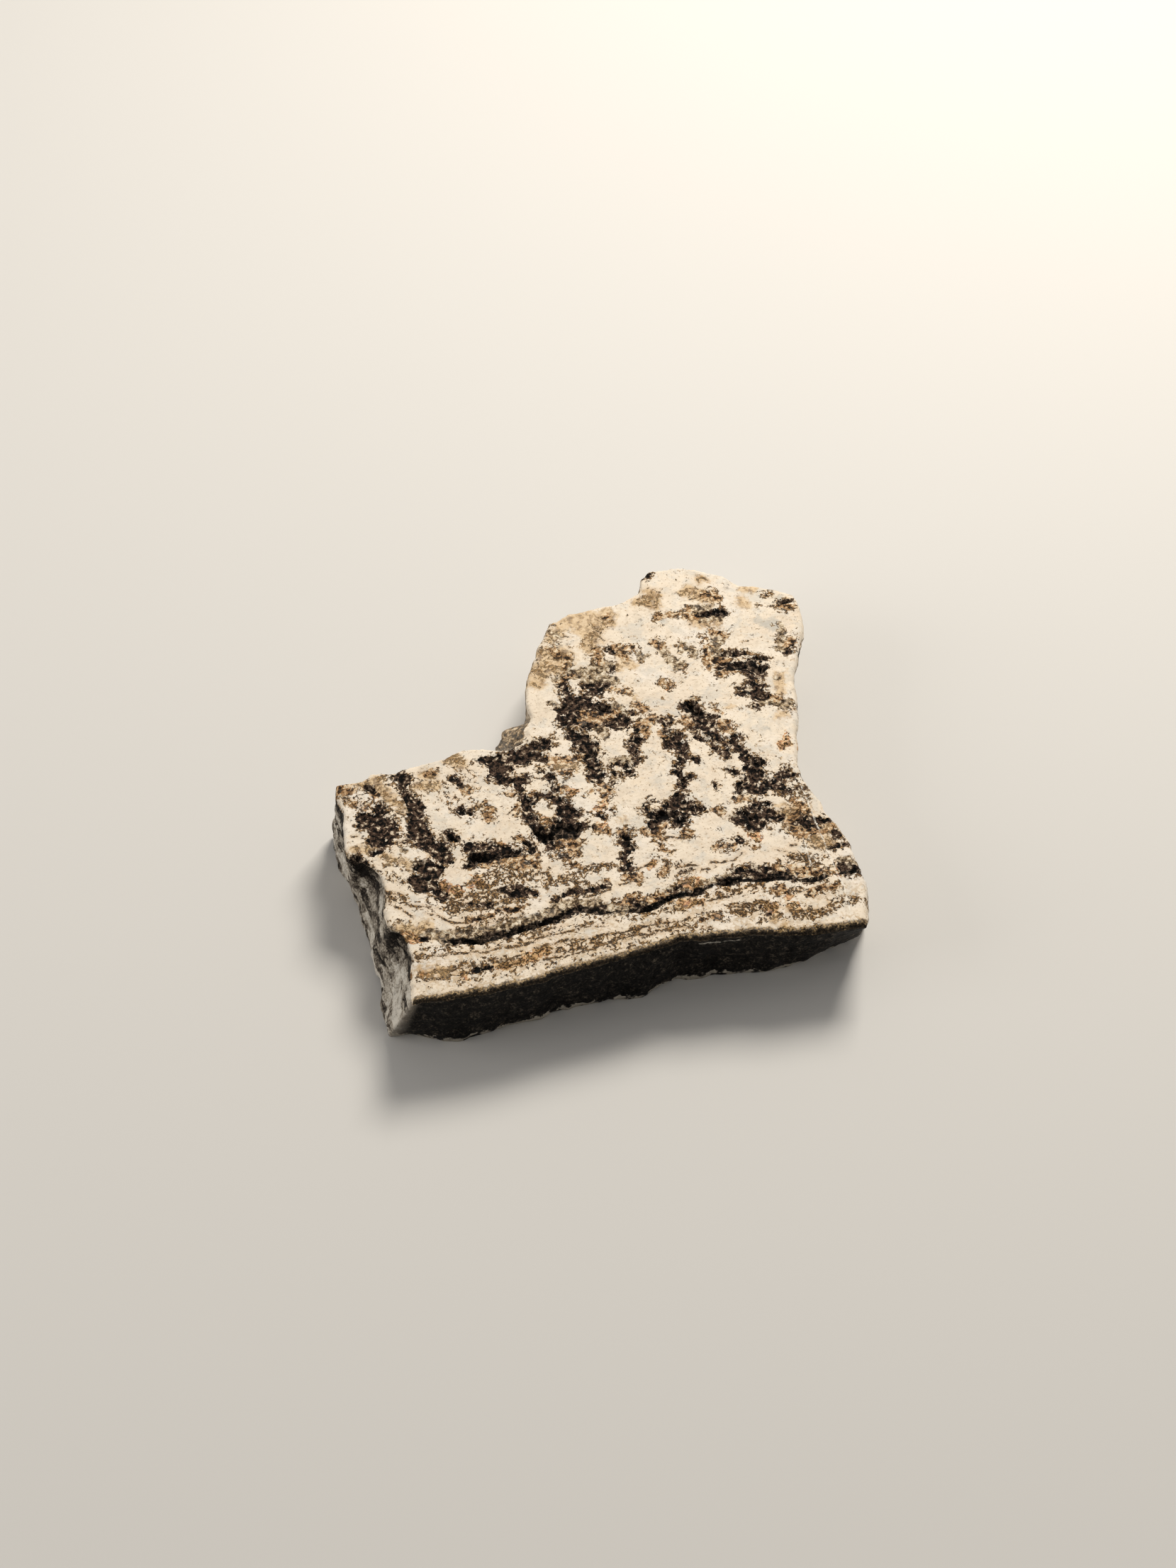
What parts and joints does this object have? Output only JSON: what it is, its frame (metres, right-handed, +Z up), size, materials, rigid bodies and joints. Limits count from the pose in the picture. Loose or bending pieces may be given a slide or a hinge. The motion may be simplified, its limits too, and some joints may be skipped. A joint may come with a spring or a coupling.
{
  "type": "stromatolite",
  "caption": "small sawn slab of stromatolite, banded cream and dark fossil rock with an L-shaped broken outline, lying on its flat underside",
  "frame": {"origin": "under the middle of the slab's outline, on its flat underside", "axes": "+Z is up, out of the sawn face; +X runs along the growth bands, towards the side with the tall lobe; +Y runs up the way the bands grew"},
  "size_m": [0.0272, 0.0258, 0.004],
  "materials": {
    "stone": "dull sawn chert, cream with dark brown and black granular bands"
  },
  "bodies": {
    "root": {"stromatolite": "stone"}
  },
  "joints": []
}
